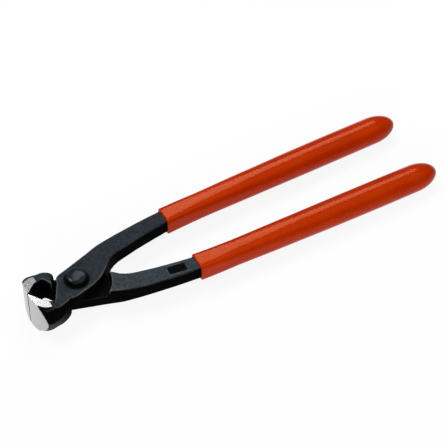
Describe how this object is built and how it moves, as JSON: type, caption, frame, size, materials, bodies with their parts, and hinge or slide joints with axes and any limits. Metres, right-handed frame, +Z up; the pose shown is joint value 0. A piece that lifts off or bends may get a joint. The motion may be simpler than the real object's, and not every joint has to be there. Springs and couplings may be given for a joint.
{
  "type": "concreters nippers",
  "caption": "Long-handled end-cutting nippers for tying and cutting wire: black forged levers crossed on a rivet, bright ground jaws, orange dipped grips",
  "frame": {"origin": "on the bench under the middle of the tool's bounding box, with the tool lying flat and its jaws closed", "axes": "+X runs from the jaws to the ends of the grips, +Y from the lower lever's handle to the upper lever's handle, +Z up off the bench"},
  "size_m": [0.2502, 0.0612, 0.0241],
  "materials": {
    "forged_steel": "black-oxide forging, satin, with bright ground jaw faces",
    "rivet_steel": "black oxide, satin",
    "grip_pvc": "dipped PVC, semi-gloss orange"
  },
  "bodies": {
    "upper_half": {"upper_lever": "forged_steel", "upper_grip": "grip_pvc", "pivot_rivet": "rivet_steel"},
    "lower_half": {"lower_lever": "forged_steel", "lower_grip": "grip_pvc"}
  },
  "joints": [
    {"name": "rivet_pivot", "type": "hinge", "parent": "upper_half", "child": "lower_half", "pos_m": [-0.09565, 0, 0.01154], "axis": [-0.0208, 0, -0.9998], "range_deg": [0, 60]}
  ]
}
